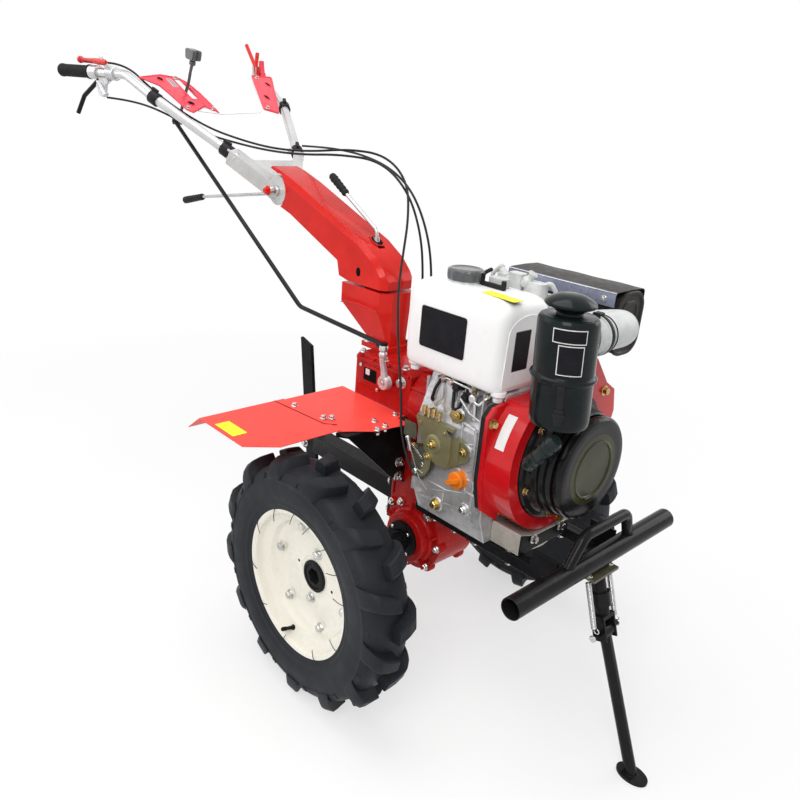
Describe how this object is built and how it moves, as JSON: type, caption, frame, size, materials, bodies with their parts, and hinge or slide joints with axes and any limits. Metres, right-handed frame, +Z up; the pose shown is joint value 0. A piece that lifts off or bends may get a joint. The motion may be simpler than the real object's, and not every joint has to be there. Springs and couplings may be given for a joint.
{
  "type": "walk-behind power weeder",
  "caption": "Walk-behind diesel power weeder: two lugged wheels, single-cylinder engine, gearbox, fenders, tilting handlebars, depth bar and folding front stand.",
  "frame": {"origin": "middle of the bounding box on the ground", "axes": "+X forward towards the bumper and stand, +Y to the operator's left, +Z up"},
  "size_m": [1.9566, 0.932, 1.3611],
  "materials": {
    "black_enamel": "gloss",
    "black_paint": "satin",
    "black_rubber": "matte",
    "cable_sheath": "satin",
    "cast_aluminium": "matte cast",
    "cream_paint": "gloss",
    "orange_plastic": "satin",
    "red_paint": "gloss",
    "tyre_rubber": "matte",
    "white_paint": "gloss",
    "zinc_plate": "satin"
  },
  "bodies": {
    "frame": {"air_cleaner": "black_enamel", "bearing_caps": "red_paint", "blower_shroud": "red_paint", "brake_cable": "cable_sheath", "bumper": "black_paint", "bumper_loop": "black_paint", "clutch_cable": "cable_sheath", "clutch_housing": "red_paint", "column_lower": "red_paint", "crankcase": "cast_aluminium", "cylinder_head": "cast_aluminium", "engine_frame": "black_paint", "fender_brackets": "black_paint", "fender_tips": "red_paint", "fenders": "black_paint", "fuel_tank": "white_paint", "gearbox_case": "red_paint", "gearbox_top": "red_paint", "governor_plate": "zinc_plate", "heat_shield": "zinc_plate", "hitch_bracket": "black_paint", "intake_elbow": "cast_aluminium", "muffler": "black_enamel", "oil_cap": "orange_plastic", "recoil_starter": "black_enamel", "shift_arm": "zinc_plate", "stand_bracket": "zinc_plate", "stand_springs": "zinc_plate", "starter_cover": "black_paint", "starter_handle": "black_rubber", "sump": "cast_aluminium", "tank_cap": "black_rubber", "throttle_cable": "cable_sheath"},
    "wheel_right": {"tyre_right": "tyre_rubber", "rim_right": "cream_paint", "hub_right": "black_paint", "axle_right": "black_paint"},
    "wheel_left": {"tyre_left": "tyre_rubber", "rim_left": "cream_paint", "hub_left": "black_paint", "axle_left": "black_paint"},
    "stand": {"stand_leg": "zinc_plate"},
    "depth_bar": {"depth_bar": "black_paint"},
    "column": {"column_upper": "red_paint", "swivel_lever": "black_paint"},
    "handlebar": {"handlebar_tubes": "zinc_plate", "handlebar_seat": "zinc_plate", "grips": "black_rubber", "console_panels": "red_paint", "console_tray": "zinc_plate", "hand_levers": "black_paint", "shift_lever": "black_paint", "tilt_lever": "black_paint", "lever_perches": "cast_aluminium"},
    "shift_rod": {"shift_rod": "zinc_plate"}
  },
  "joints": [
    {"name": "wheel_right_spin", "type": "hinge", "parent": "frame", "child": "wheel_right", "pos_m": [0.33932, -0.35, 0.275], "axis": [0, 1, 0], "continuous": true},
    {"name": "wheel_left_spin", "type": "hinge", "parent": "frame", "child": "wheel_left", "pos_m": [0.33932, 0.35, 0.275], "axis": [0, 1, 0], "continuous": true},
    {"name": "stand_fold", "type": "hinge", "parent": "frame", "child": "stand", "pos_m": [0.82632, 0, 0.278], "axis": [0, 1, 0], "range_deg": [0, 115]},
    {"name": "depth_bar_slide", "type": "slide", "parent": "frame", "child": "depth_bar", "axis": [-0.1299, 0, 0.9915], "range_m": [-0.035, 0.12]},
    {"name": "column_swivel", "type": "hinge", "parent": "frame", "child": "column", "pos_m": [0.09432, 0, 0.812], "axis": [0, 0, 1], "range_deg": [-15, 15], "deforming": ["brake_cable", "clutch_cable", "throttle_cable"]},
    {"name": "handlebar_tilt", "type": "hinge", "parent": "column", "child": "handlebar", "pos_m": [-0.26368, 0, 0.984], "axis": [0, 1, 0], "range_deg": [-12, 15], "deforming": ["brake_cable", "clutch_cable", "throttle_cable"]},
    {"name": "shift_rod_swing", "type": "hinge", "parent": "handlebar", "child": "shift_rod", "pos_m": [-0.66468, -0.116, 1.122], "axis": [0, 1, 0], "range_deg": [-8.8, 7]}
  ],
  "couplings": [
    {"joint": "shift_rod_swing", "follows": "handlebar_tilt", "ratio": -0.579}
  ]
}
